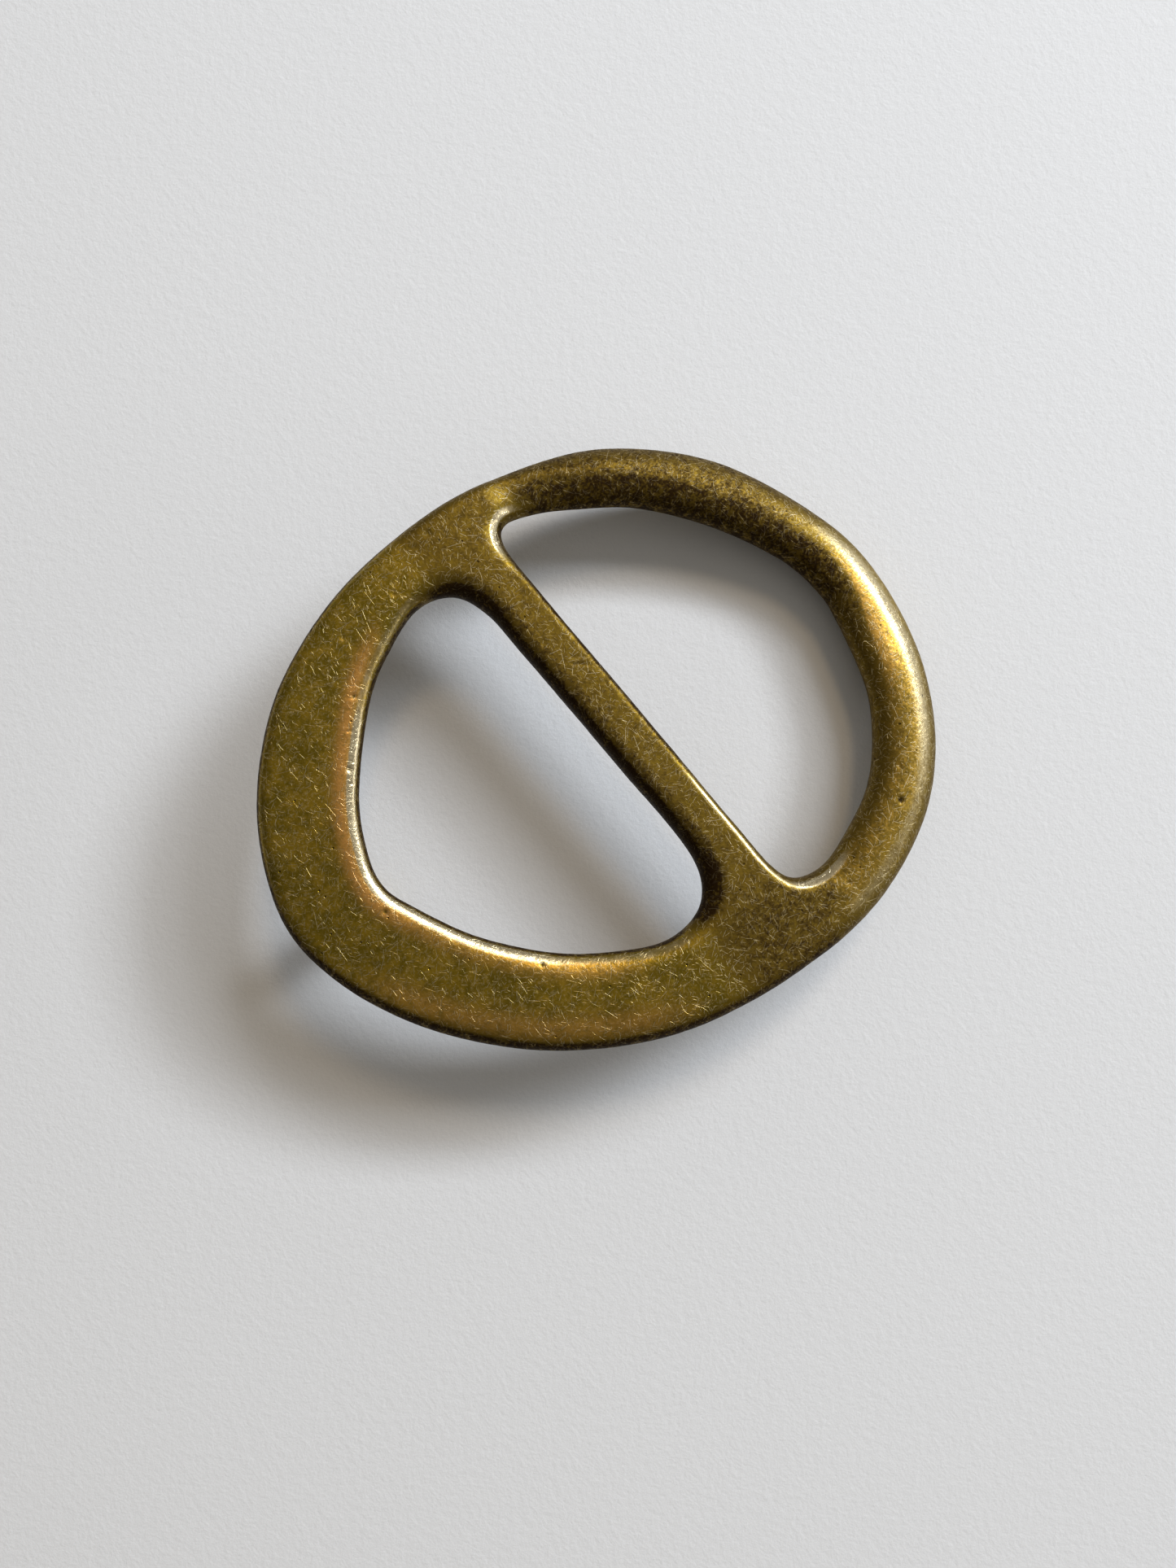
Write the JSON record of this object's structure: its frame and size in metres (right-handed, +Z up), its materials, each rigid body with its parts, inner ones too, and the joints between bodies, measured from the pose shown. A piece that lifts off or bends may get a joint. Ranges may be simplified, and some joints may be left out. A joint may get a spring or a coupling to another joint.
{
  "type": "belt buckle",
  "caption": "Cast brass centre-bar belt buckle: an oval-section ring half, a straight crossbar for the strap, a broad flat bow half and a hook stud on its back.",
  "frame": {"origin": "centre of the bounding box, on the surface that the buckle lies on", "axes": "+X along the strap towards the ring's far end, +Y along the crossbar, +Z up from the surface, as it lies on the ring's far end and the stud's foot"},
  "size_m": [0.0668, 0.0564, 0.0121],
  "materials": {
    "aged_brass": "aged, dark brown in the hollows, rubbed bright on the edges, covered in fine scratches",
    "stud_brass": "turned brass, dulled, dark where it meets the casting"
  },
  "bodies": {
    "root": {"buckle_casting": "aged_brass", "hook_stud": "stud_brass"}
  },
  "joints": []
}
